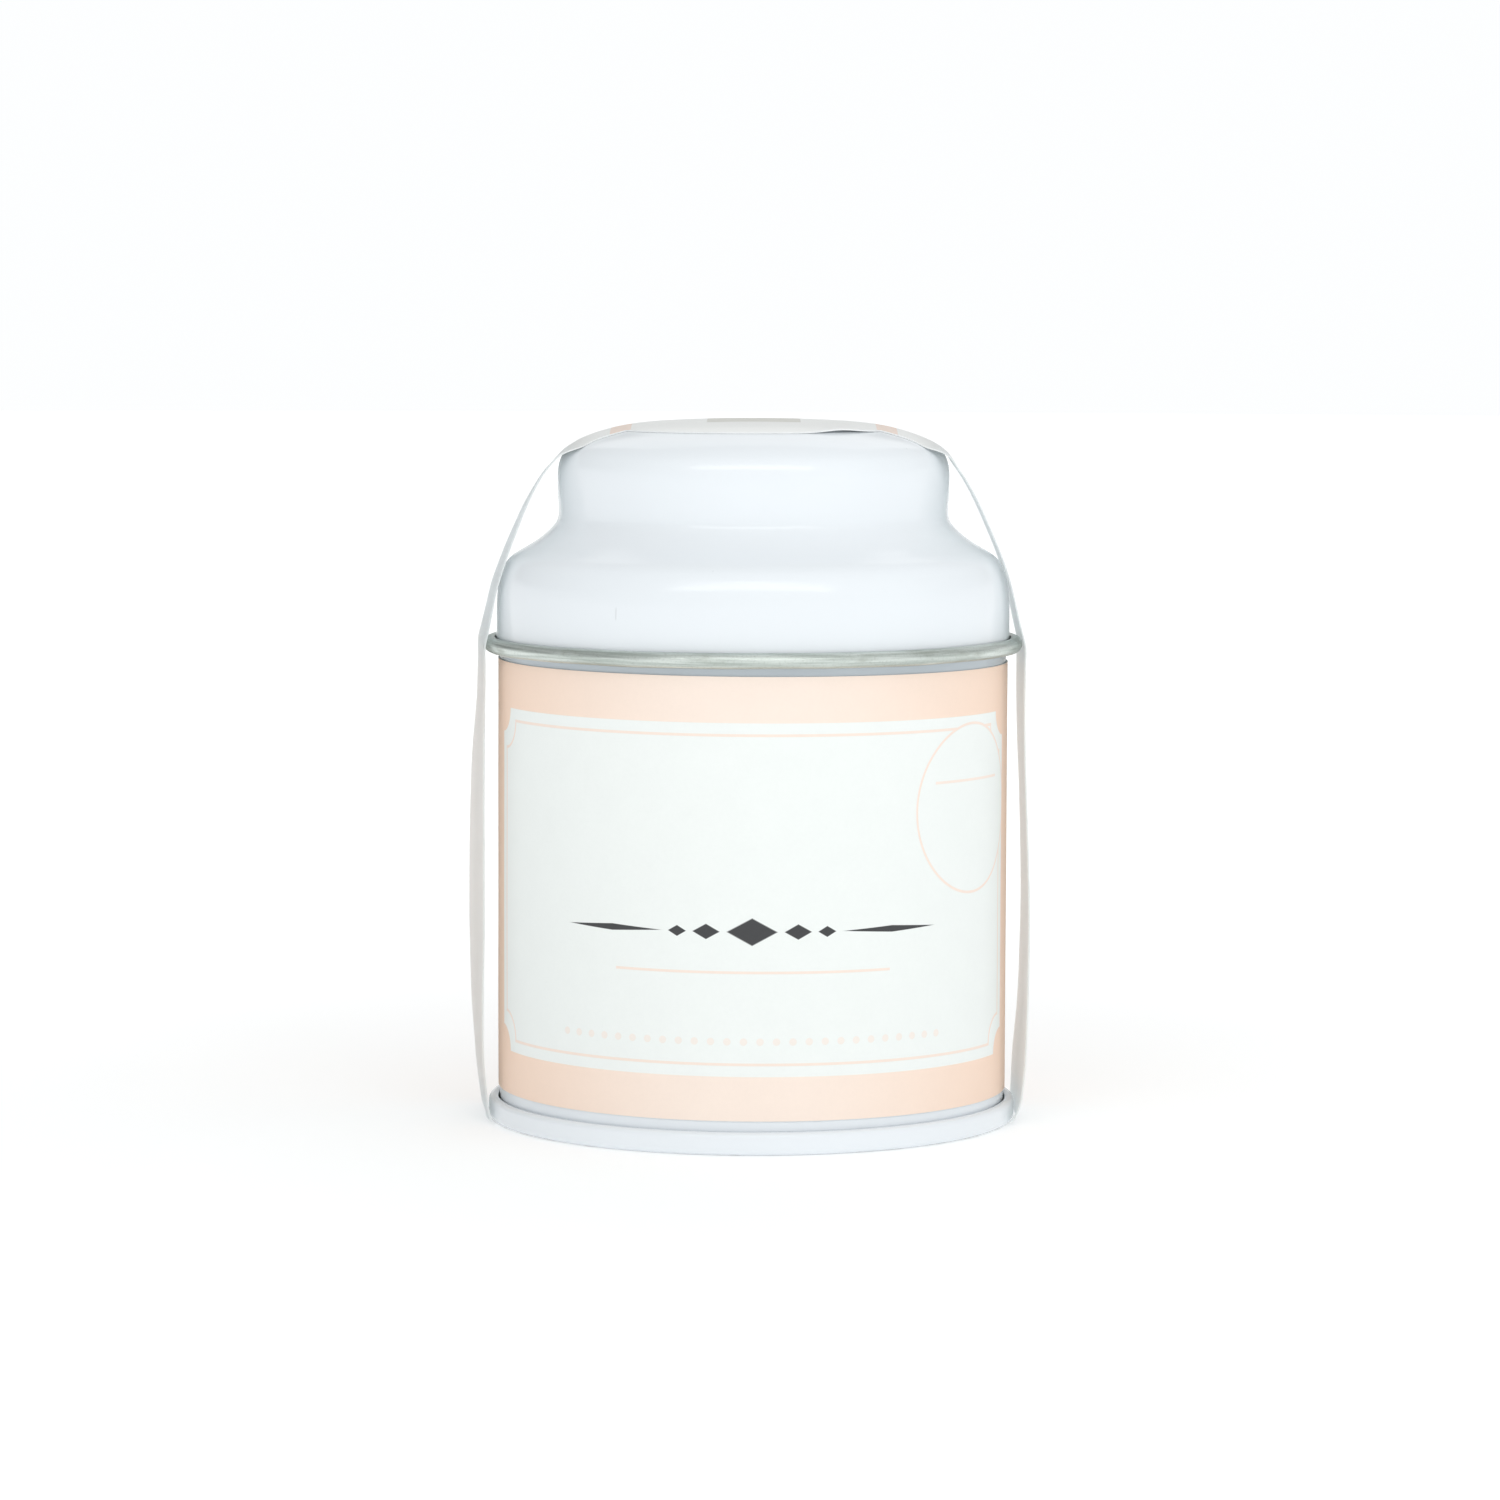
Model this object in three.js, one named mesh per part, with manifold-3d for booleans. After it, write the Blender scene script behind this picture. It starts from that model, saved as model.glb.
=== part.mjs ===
// A small round spice tin, standing on its base, in millimetres, +Z up.
// The tin's axis is the Z axis and its front faces -Y.
// A rolled tinplate wall is closed below by a seamed base and above by a
// stepped slip lid. A paper label is wrapped round the wall, and a paper strip
// runs up one side, over the lid and down the other side.
import * as THREE from "three";
import { mergeVertices } from "three/addons/utils/BufferGeometryUtils.js";
import Module from "manifold-3d";

// ---- driving dimensions, mm ----
const SEGMENTS = 40; // facets round the axis, shared by all round pieces
const SHEET = 0.25; // tinplate thickness
const PAPER = 0.14; // paper thickness

const WALL_R = 23.82; // outer radius of the rolled wall
const WALL_FLANGE_R = 24.4; // flange at its foot, held in the base seam
const WALL_FLANGE_Z = 0.85;
const WALL_CURL_Z = 47.29; // centre height of the inward curl at its mouth
const WALL_CURL_R = 0.5;
const LOCK_SEAM_W = 4.0; // folded side seam, on the inside at the back
const LOCK_SEAM_T = 0.62;

const BASE_RING_R = 24.87; // outer radius of the base seam
const BASE_RING_H = 2.12;
const BASE_PANEL_Z = 1.75; // underside of the recessed base panel

const LID_DRUM_R = 24.12; // lower drum of the lid
const LID_NECK_R = 18.0; // waist of the upper drum
const LID_TOP_Z = 65.77; // crown of the dome
const CURL_C_R = 24.64; // outward curl at the lid's lower edge
const CURL_C_Z = 44.85;
const CURL_R = 0.72;

const LABEL_Z0 = 3.05;
const LABEL_Z1 = 43.39;
const LABEL_GAP = 0.04; // glue line between wall and paper
const LABEL_LAP = 2; // facets of overlap at the back

const STRIP_HALF_W = 10.6; // half width before it is shaped
const STRIP_LEG_W = 6.6; // half width down the sides
const STRIP_DISC_R = 13.5; // its round middle
const STRIP_SAG_TOP = 0.25; // the strip's edges droop over the crown
const STRIP_SAG_EDGE = 0.36; // and further where the dome falls away
const STRIP_END_Z = 0.3; // the strip ends just above the ground
const STRIP_BEND_Z = 3.0; // below this height its front edge closes on the base ring

// ---- helpers ----
const rad = THREE.MathUtils.degToRad;

// The other face of a sheet whose visible face follows pts, t to the right of
// the direction of travel (or to the left where t is negative).
function offsetFace(pts, t) {
  const n = pts.length;
  return pts.map(([r, z], i) => {
    const dirs = [];
    if (i > 0) dirs.push([r - pts[i - 1][0], z - pts[i - 1][1]]);
    if (i < n - 1) dirs.push([pts[i + 1][0] - r, pts[i + 1][1] - z]);
    const normals = dirs.map(([a, b]) => {
      const l = Math.hypot(a, b);
      return [b / l, -a / l];
    });
    let nr = 0;
    let nz = 0;
    for (const v of normals) {
      nr += v[0];
      nz += v[1];
    }
    const l = Math.hypot(nr, nz);
    nr /= l;
    nz /= l;
    const c = nr * normals[0][0] + nz * normals[0][1];
    const rr = r + (nr * t) / c;
    return [r === 0 ? 0 : rr, r === 0 ? z - Math.sign(t) * Math.abs(t) : z + (nz * t) / c];
  });
}

function signedVolume(g) {
  const p = g.attributes.position;
  const a = new THREE.Vector3();
  const b = new THREE.Vector3();
  const c = new THREE.Vector3();
  let v = 0;
  for (let i = 0; i < g.index.count; i += 3) {
    a.fromBufferAttribute(p, g.index.getX(i));
    b.fromBufferAttribute(p, g.index.getX(i + 1));
    c.fromBufferAttribute(p, g.index.getX(i + 2));
    v += a.dot(b.cross(c)) / 6;
  }
  return v;
}

// Only positions, shared corners merged, collapsed triangles removed, faces out.
function closed(geometry) {
  let g = geometry.clone();
  g.deleteAttribute("normal");
  g.deleteAttribute("uv");
  g = mergeVertices(g, 1e-3);
  const idx = g.index.array;
  const keep = [];
  for (let i = 0; i < idx.length; i += 3) {
    const [a, b, c] = [idx[i], idx[i + 1], idx[i + 2]];
    if (a !== b && b !== c && a !== c) keep.push(a, b, c);
  }
  g.setIndex(keep);
  if (signedVolume(g) < 0) {
    for (let i = 0; i < keep.length; i += 3)
      [keep[i + 1], keep[i + 2]] = [keep[i + 2], keep[i + 1]];
    g.setIndex(keep);
  }
  g.computeVertexNormals();
  return g;
}

// A solid of revolution about Z from a profile of [radius, height] points.
function turned(profile) {
  const g = new THREE.LatheGeometry(
    profile.map(([r, z]) => new THREE.Vector2(r, z)),
    SEGMENTS,
  );
  g.rotateX(Math.PI / 2);
  return closed(g);
}

function arc(cr, cz, r, a0, a1, steps) {
  const pts = [];
  for (let i = 0; i <= steps; i++) {
    const a = rad(a0 + ((a1 - a0) * i) / steps);
    pts.push([cr + r * Math.cos(a), cz + r * Math.sin(a)]);
  }
  return pts;
}

const wasm = await Module();
wasm.setup();

function solid(g) {
  return new wasm.Manifold(
    new wasm.Mesh({
      numProp: 3,
      vertProperties: new Float32Array(g.attributes.position.array),
      triVerts: new Uint32Array(g.index.array),
    }),
  );
}

function fromSolid(s) {
  const m = s.getMesh();
  const g = new THREE.BufferGeometry();
  const pos = new Float32Array(m.numVert * 3);
  for (let i = 0; i < m.numVert; i++)
    for (let k = 0; k < 3; k++) pos[3 * i + k] = m.vertProperties[i * m.numProp + k];
  g.setAttribute("position", new THREE.BufferAttribute(pos, 3));
  g.setIndex(Array.from(m.triVerts));
  g.computeVertexNormals();
  return g;
}

function piece(name, geometry, color, roughness, metalness) {
  const mesh = new THREE.Mesh(
    geometry,
    new THREE.MeshStandardMaterial({ color, roughness, metalness }),
  );
  mesh.name = name;
  return mesh;
}

const tin = new THREE.Group();

// ---- can wall: rolled sheet, flanged out at the foot, curled in at the mouth ----
const wallFace = [
  [WALL_FLANGE_R, WALL_FLANGE_Z],
  [WALL_R, WALL_FLANGE_Z],
  [WALL_R, LABEL_Z1 + 1],
  ...arc(WALL_R - WALL_CURL_R, WALL_CURL_Z, WALL_CURL_R, 0, 240, 6),
];
const wallBack = offsetFace(wallFace, -SHEET);
const wall = turned([...wallFace, ...wallBack.slice().reverse(), wallFace[0]]);
// the folded side seam: a flat rib that lies on the inside of the wall
const seamBox = new THREE.BoxGeometry(LOCK_SEAM_W, LOCK_SEAM_T, 43.0);
seamBox.translate(0, WALL_R - 0.2 - LOCK_SEAM_T / 2, 3.1 + 21.5);
const canWall = fromSolid(solid(wall).add(solid(closed(seamBox))));
tin.add(piece("can_wall", canWall, 0xeef2f4, 0.35, 0.1));

// ---- base: recessed panel, countersink wall, and the seam ring it stands on ----
const baseFace = [
  [0, BASE_PANEL_Z],
  [16.5, BASE_PANEL_Z],
  [17.3, BASE_PANEL_Z - 0.4],
  [21.8, BASE_PANEL_Z - 0.4],
  [22.55, BASE_PANEL_Z - 0.7],
  [22.95, 0.3],
  [23.25, 0],
  [24.35, 0],
  [24.72, 0.15],
  [BASE_RING_R, 0.52],
  [BASE_RING_R, BASE_RING_H - 0.52],
  [24.72, BASE_RING_H - 0.15],
  [24.35, BASE_RING_H],
  [WALL_R + 0.12, BASE_RING_H],
];
const baseBack = offsetFace(baseFace, -SHEET);
tin.add(
  piece("base_end", turned([...baseFace, ...baseBack.slice().reverse()]), 0xf0f4f7, 0.35, 0.1),
);

// ---- lid: one stamping, from the crown of the dome to the outward curl ----
const lidFace = [
  [0, LID_TOP_Z],
  [6.0, LID_TOP_Z - 0.09],
  [10.1, LID_TOP_Z - 0.31],
  [12.5, LID_TOP_Z - 0.67],
  [14.5, LID_TOP_Z - 1.19],
  [16.2, LID_TOP_Z - 1.82],
  [17.2, LID_TOP_Z - 2.42],
  [17.9, LID_TOP_Z - 3.13],
  [18.25, LID_TOP_Z - 4.08],
  [18.3, LID_TOP_Z - 4.88],
  [LID_NECK_R + 0.06, 58.79],
  [LID_NECK_R, 57.09],
  [18.25, 56.19],
  [19.34, 55.04],
  [21.3, 53.59],
  [22.7, 52.89],
  [23.3, 52.19],
  [23.72, 50.99],
  [24.0, 49.69],
  [LID_DRUM_R, 48.19],
  [LID_DRUM_R, 45.99],
  ...arc(CURL_C_R, CURL_C_Z, CURL_R - SHEET, 180, 480, 8),
];
const lidBack = offsetFace(lidFace, SHEET);
tin.add(piece("lid", turned([...lidFace, ...lidBack.slice().reverse()]), 0xf2f6f9, 0.3, 0.1));

// ---- wrap label: one sheet of paper once round the wall, lapped at the back ----
{
  const inner = [];
  const outer = [];
  const step = 360 / SEGMENTS;
  const start = 90 - LABEL_LAP * step; // the hidden end lies just short of the back
  const total = SEGMENTS + LABEL_LAP;
  for (let i = 0; i <= total; i++) {
    const a = rad(start + i * step);
    // past one full turn the paper climbs onto its own first end
    const climb = i >= SEGMENTS ? PAPER + 0.03 : 0;
    const r = WALL_R + LABEL_GAP + climb;
    inner.push(new THREE.Vector2(r * Math.cos(a), r * Math.sin(a)));
    outer.push(new THREE.Vector2((r + PAPER) * Math.cos(a), (r + PAPER) * Math.sin(a)));
  }
  const outline = new THREE.Shape([...outer, ...inner.slice().reverse()]);
  const g = new THREE.ExtrudeGeometry(outline, {
    depth: LABEL_Z1 - LABEL_Z0,
    bevelEnabled: false,
    steps: 1,
  });
  g.translate(0, 0, LABEL_Z0);
  tin.add(piece("wrap_label", closed(g), 0xf6ddcb, 0.7, 0));
}

// ---- seal strip: flat paper from the foot of one side, over the lid, to the other,
// with a round middle that lies on the dome ----
{
  // each side of the strip's run, from the crown to the foot:
  // [distance from axis, height, turn about the upright in degrees]
  const left = [
    [0, 65.89, 0],
    [2.5, 65.875, 0],
    [5, 65.83, 0],
    [7.6, 65.74, 0],
    [10.1, 65.6, 0],
    [11.8, 65.38, 0],
    [12.5, 65.26, 0],
    [14.4, 64.76, 0],
    [16.1, 64.12, 0],
    [17.05, 63.57, 0],
    [17.78, 63.02, 0],
    [18.4, 62.4, 0.25],
    [19.1, 61.6, 0.7],
    [19.9, 60.6, 1.4],
    [21.45, 57.8, 2.7],
    [22.3, 55.8, 3.4],
    [23.08, 53.9, 3.85],
    [23.78, 52, 4.2],
    [24.4, 50.1, 4.6],
    [24.84, 48.1, 4.9],
    [25.27, 46.2, 5.3],
    [25.58, 44.85, 5.4],
    [25.6, 43, 5.5],
    [25.66, 39.5, 5.9],
    [25.84, 33.7, 7.4],
    [25.9, 26.5, 7.9],
    [25.93, 18, 7.9],
    [25.95, 10.5, 7.2],
    [25.84, 6.2, 6.3],
    [25.68, 4.2, 6.3],
    [25.5, 2.6, 6.1],
    [25.38, 1.5, 6],
    [25.28, 0.8, 5.9],
    [25.2, STRIP_END_Z, 5.9],
  ];
  const right = [
    [0, 65.89, 0],
    [2.5, 65.875, 0],
    [5, 65.83, 0],
    [7.6, 65.74, 0],
    [10.1, 65.62, 0],
    [11.8, 65.42, 0],
    [12.5, 65.3, 0],
    [14.5, 64.8, 0],
    [16.2, 64.16, 0],
    [17.25, 63.56, 0],
    [17.9, 63.02, 0],
    [18.4, 62.5, 0],
    [19, 61.55, 0],
    [19.65, 60.6, 0],
    [20.7, 58.8, 0],
    [21.56, 57, 0],
    [22.4, 55.1, 0],
    [23.15, 53.3, 0],
    [23.82, 51.4, 0],
    [24.3, 49.6, 0],
    [24.75, 47.7, 0.2],
    [25.1, 46.4, 0.4],
    [25.47, 44.85, 0.6],
    [25.42, 43, 0.6],
    [25.36, 40.3, 0.6],
    [25.42, 35.7, 0.5],
    [25.58, 31.1, 0.25],
    [25.74, 26.4, 0.3],
    [25.9, 20, 0.4],
    [25.84, 13, 0.9],
    [25.72, 9.6, 1.4],
    [25.46, 5.9, 2.3],
    [25.32, 4, 2],
    [25.22, 2.6, 1.6],
    [25.13, 1.5, 1.2],
    [25.07, 0.8, 1],
    [25.04, STRIP_END_Z, 1],
  ];
  const run = [
    ...left.map(([x, z]) => [-x, z]).reverse(),
    ...right.slice(1).map(([x, z]) => [x, z]),
  ];
  const up = offsetFace(run, -PAPER / 2);
  const down = offsetFace(run, PAPER / 2);
  const outline = new THREE.Shape(
    [...up, ...down.slice().reverse()].map(([x, z]) => new THREE.Vector2(x, z)),
  );
  const g = new THREE.ExtrudeGeometry(outline, {
    depth: 2 * STRIP_HALF_W,
    bevelEnabled: false,
    steps: 8,
  });
  g.rotateX(Math.PI / 2);
  g.translate(0, STRIP_HALF_W, 0);
  const { smoothstep: smooth, lerp, clamp } = THREE.MathUtils;
  const turnAt = (side, z) => {
    for (let i = 1; i < side.length; i++)
      if (z >= side[i][1]) {
        const [, z0, t0] = side[i - 1];
        const [, z1, t1] = side[i];
        return lerp(t1, t0, clamp((z - z1) / (z0 - z1), 0, 1));
      }
    return side[side.length - 1][2];
  };
  const p = g.attributes.position;
  for (let i = 0; i < p.count; i++) {
    let x = p.getX(i);
    let y = p.getY(i);
    let z = p.getZ(i);
    // round in the middle, even in width elsewhere
    y *= Math.max(STRIP_LEG_W, Math.sqrt(Math.max(STRIP_DISC_R ** 2 - x * x, 0))) / STRIP_HALF_W;
    const k = (y / STRIP_HALF_W) ** 2;
    const top = smooth(z, 60.4, 65.4);
    const sign = Math.sign(x);
    // nearly straight across down the sides, a little bowed where it crosses the lid's bead
    const bow = sign < 0 ? 0.05 : 0.16 + 0.26 * Math.exp(-(((z - 45) / 3) ** 2));
    // the front half of each foot is bent round the ring
    const t = clamp((STRIP_BEND_Z - z) / (STRIP_BEND_Z - STRIP_END_Z), 0, 1);
    const bend = (1 - Math.sqrt(1 - t * t)) * smooth(-y, 0, 4);
    const a = rad(turnAt(sign < 0 ? left : right, z));
    const across = y * Math.cos(a);
    const round = sign * Math.sqrt(Math.max(x * x - across * across, 0));
    const droop = STRIP_SAG_TOP + STRIP_SAG_EDGE * smooth(Math.abs(x), 2, 13);
    x -= sign * (1 - top) * bow * k + y * Math.sin(a);
    z -= droop * k * top;
    p.setXYZ(i, lerp(x, round, bend), across, z);
  }
  tin.add(piece("seal_strip", closed(g), 0xf5f6f4, 0.7, 0));
}

export default tin;
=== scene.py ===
import math

import bpy
from mathutils import Euler, Matrix, Vector, noise


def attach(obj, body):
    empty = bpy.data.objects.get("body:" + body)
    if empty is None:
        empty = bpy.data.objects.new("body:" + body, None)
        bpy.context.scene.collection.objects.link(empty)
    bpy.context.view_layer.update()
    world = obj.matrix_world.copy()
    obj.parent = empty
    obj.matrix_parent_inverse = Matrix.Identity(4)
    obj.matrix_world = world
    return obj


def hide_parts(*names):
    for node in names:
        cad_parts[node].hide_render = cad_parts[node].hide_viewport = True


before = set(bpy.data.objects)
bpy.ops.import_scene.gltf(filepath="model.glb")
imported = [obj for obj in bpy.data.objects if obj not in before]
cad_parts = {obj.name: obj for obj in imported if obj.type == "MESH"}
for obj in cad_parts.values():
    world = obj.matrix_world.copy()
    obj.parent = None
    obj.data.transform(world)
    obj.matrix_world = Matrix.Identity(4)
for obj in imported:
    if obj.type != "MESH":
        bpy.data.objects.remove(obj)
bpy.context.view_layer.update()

MM = 0.001
TAU = math.tau


# --------------------------------------------------------------------------
# curves and meshes (millimetres until the mesh is made)
# --------------------------------------------------------------------------
def smoothstep(x, a, b):
    if a == b:
        return 0.0 if x < a else 1.0
    t = min(max((x - a) / (b - a), 0.0), 1.0)
    return t * t * (3 - 2 * t)


def spline(keys, per=6, first=None, last=None):
    """Centripetal Catmull-Rom through keys, per steps to each span."""
    p = [Vector(k) for k in keys]
    a = Vector(first) if first else p[0] * 2 - p[1]
    b = Vector(last) if last else p[-1] * 2 - p[-2]
    p = [a] + p + [b]
    out = []
    for i in range(1, len(p) - 2):
        p0, p1, p2, p3 = p[i - 1], p[i], p[i + 1], p[i + 2]
        t0 = 0.0
        t1 = t0 + max((p1 - p0).length, 1e-6) ** 0.5
        t2 = t1 + max((p2 - p1).length, 1e-6) ** 0.5
        t3 = t2 + max((p3 - p2).length, 1e-6) ** 0.5
        for k in range(per):
            t = t1 + (t2 - t1) * k / per
            a1 = p0 * ((t1 - t) / (t1 - t0)) + p1 * ((t - t0) / (t1 - t0))
            a2 = p1 * ((t2 - t) / (t2 - t1)) + p2 * ((t - t1) / (t2 - t1))
            a3 = p2 * ((t3 - t) / (t3 - t2)) + p3 * ((t - t2) / (t3 - t2))
            b1 = a1 * ((t2 - t) / (t2 - t0)) + a2 * ((t - t0) / (t2 - t0))
            b2 = a2 * ((t3 - t) / (t3 - t1)) + a3 * ((t - t1) / (t3 - t1))
            out.append(b1 * ((t2 - t) / (t2 - t1)) + b2 * ((t - t1) / (t2 - t1)))
    out.append(p[-2].copy())
    return out


def arc(cr, cz, r, a0, a1, steps):
    return [
        Vector(
            (
                cr + r * math.cos(math.radians(a0 + (a1 - a0) * i / steps)),
                cz + r * math.sin(math.radians(a0 + (a1 - a0) * i / steps)),
            )
        )
        for i in range(steps + 1)
    ]


def offset(pts, t):
    """The other face of a sheet, t to the right of the direction of travel."""
    out = []
    for i, p in enumerate(pts):
        d = pts[min(i + 1, len(pts) - 1)] - pts[max(i - 1, 0)]
        n = Vector((d.y, -d.x)).normalized()
        q = p + n * t
        if abs(p.x) < 1e-9:
            q = Vector((0.0, p.y + n.y * t))
        out.append(q)
    return out


def mesh_object(name, verts, faces, mats, face_mat=None, smooth=True, uv=None):
    me = bpy.data.meshes.new(name)
    me.from_pydata([(x * MM, y * MM, z * MM) for x, y, z in verts], [], faces)
    for m in mats:
        me.materials.append(m)
    if face_mat:
        me.polygons.foreach_set("material_index", face_mat)
    me.polygons.foreach_set("use_smooth", [smooth] * len(me.polygons))
    if uv:
        layer = me.uv_layers.new(name="print")
        data = layer.data
        for poly in me.polygons:
            for li in poly.loop_indices:
                data[li].uv = uv[me.loops[li].vertex_index]
    me.validate()
    me.update()
    o = bpy.data.objects.new(name, me)
    bpy.context.scene.collection.objects.link(o)
    return o


def angles(n, dense=None):
    """n even angles round the axis; dense adds (centre, half width, count) of extra ones."""
    a = [TAU * i / n for i in range(n)]
    if dense:
        c, w, k = dense
        a = [t for t in a if abs((t - c + math.pi) % TAU - math.pi) > w]
        a += [(c - w + 2 * w * i / k) % TAU for i in range(k + 1)]
    return sorted(set(round(t, 9) for t in a))


def lathe(name, profile, thetas, mats, seg_mat, bend=None, sharp=30):
    """Turns a closed profile about Z. Points on the axis become single vertices.
    theta 0 faces -Y (the front) and grows towards +X. bend(i, theta, r, z) -> r, z."""
    verts, rings = [], []
    n = len(thetas)
    for i, p in enumerate(profile):
        if abs(p.x) < 1e-6:
            rings.append(len(verts))
            verts.append((0.0, 0.0, p.y))
            continue
        ring = []
        for t in thetas:
            r, z = p.x, p.y
            if bend:
                r, z = bend(i, t, r, z)
            ring.append(len(verts))
            verts.append((r * math.sin(t), -r * math.cos(t), z))
        rings.append(ring)
    faces, fm = [], []
    m = len(profile)
    for i in range(m):
        a, b = rings[i], rings[(i + 1) % m]
        if isinstance(a, int) and isinstance(b, int):
            continue
        for j in range(n):
            k = (j + 1) % n
            if isinstance(a, int):
                f = (a, b[j], b[k])
            elif isinstance(b, int):
                f = (a[j], b, a[k])
            else:
                f = (a[j], b[j], b[k], a[k])
            faces.append(f)
            fm.append(seg_mat(i))
    o = mesh_object(name, verts, faces, mats, fm)
    fix_normals(o)
    o.data.set_sharp_from_angle(angle=math.radians(sharp))
    return o


def fix_normals(o):
    import bmesh

    bm = bmesh.new()
    bm.from_mesh(o.data)
    bmesh.ops.recalc_face_normals(bm, faces=bm.faces)
    if bm.calc_volume(signed=True) < 0:
        bmesh.ops.reverse_faces(bm, faces=bm.faces)
    bm.to_mesh(o.data)
    bm.free()


# --------------------------------------------------------------------------
# node helpers
# --------------------------------------------------------------------------
class Tree:
    def __init__(self, name):
        self.mat = bpy.data.materials.new(name)
        self.mat.use_nodes = True
        self.t = self.mat.node_tree
        self.t.nodes.clear()
        self.out = self.new("ShaderNodeOutputMaterial")
        self.bsdf = self.new("ShaderNodeBsdfPrincipled")
        self.link(self.bsdf.outputs[0], self.out.inputs["Surface"])

    def new(self, kind, **props):
        n = self.t.nodes.new(kind)
        for k, v in props.items():
            setattr(n, k, v)
        return n

    def link(self, a, b):
        self.t.links.new(a, b)

    def put(self, socket, v):
        if isinstance(v, bpy.types.NodeSocket):
            self.link(v, socket)
        elif isinstance(v, (tuple, list)) and len(v) == 3 and socket.type == "RGBA":
            socket.default_value = (*v, 1.0)
        else:
            socket.default_value = v

    def math(self, op, a, b=None, c=None, clamp=False):
        n = self.new("ShaderNodeMath", operation=op, use_clamp=clamp)
        self.put(n.inputs[0], a)
        if b is not None:
            self.put(n.inputs[1], b)
        if c is not None:
            self.put(n.inputs[2], c)
        return n.outputs[0]

    def mix(self, fac, a, b, mode="MIX"):
        n = self.new("ShaderNodeMix", data_type="RGBA", blend_type=mode)
        self.put(n.inputs[0], fac)
        self.put(n.inputs[6], a)
        self.put(n.inputs[7], b)
        return n.outputs[2]

    def ramp(self, v, lo, hi, out_lo=0.0, out_hi=1.0, smooth=True):
        n = self.new(
            "ShaderNodeMapRange",
            interpolation_type="SMOOTHSTEP" if smooth else "LINEAR",
        )
        self.put(n.inputs[0], v)
        self.put(n.inputs[1], lo)
        self.put(n.inputs[2], hi)
        self.put(n.inputs[3], out_lo)
        self.put(n.inputs[4], out_hi)
        return n.outputs[0]

    def coords(self, scale=1000.0):
        """Object coordinates in millimetres."""
        c = self.new("ShaderNodeTexCoord")
        m = self.new("ShaderNodeVectorMath", operation="SCALE")
        self.link(c.outputs["Object"], m.inputs[0])
        m.inputs["Scale"].default_value = scale
        return m.outputs[0]

    def split(self, vec):
        n = self.new("ShaderNodeSeparateXYZ")
        self.link(vec, n.inputs[0])
        return n.outputs[0], n.outputs[1], n.outputs[2]

    def join(self, x, y, z):
        n = self.new("ShaderNodeCombineXYZ")
        self.put(n.inputs[0], x)
        self.put(n.inputs[1], y)
        self.put(n.inputs[2], z)
        return n.outputs[0]

    def noise(self, vec, scale, detail=3.0, rough=0.5, kind="Fac"):
        n = self.new("ShaderNodeTexNoise")
        self.link(vec, n.inputs["Vector"])
        n.inputs["Scale"].default_value = scale
        n.inputs["Detail"].default_value = detail
        n.inputs["Roughness"].default_value = rough
        return n.outputs[kind]

    def voronoi(self, vec, scale, feature="F1", rand=1.0):
        n = self.new("ShaderNodeTexVoronoi", feature=feature)
        self.link(vec, n.inputs["Vector"])
        n.inputs["Scale"].default_value = scale
        n.inputs["Randomness"].default_value = rand
        return n.outputs["Distance"]

    def bump(self, height, strength, distance, normal=None):
        n = self.new("ShaderNodeBump")
        n.inputs["Strength"].default_value = strength
        n.inputs["Distance"].default_value = distance
        self.link(height, n.inputs["Height"])
        if normal is not None:
            self.link(normal, n.inputs["Normal"])
        return n.outputs[0]

    def set(self, **kw):
        for k, v in kw.items():
            self.put(self.bsdf.inputs[k.replace("_", " ")], v)
        return self


def around(t, vec):
    """Arc length round the axis (mm, 0 at the front), radius and height of a point."""
    x, y, z = t.split(vec)
    a = t.math("ARCTAN2", x, t.math("MULTIPLY", y, -1.0))
    r = t.math("SQRT", t.math("ADD", t.math("MULTIPLY", x, x), t.math("MULTIPLY", y, y)))
    return t.math("MULTIPLY", a, 24.0), r, z


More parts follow.
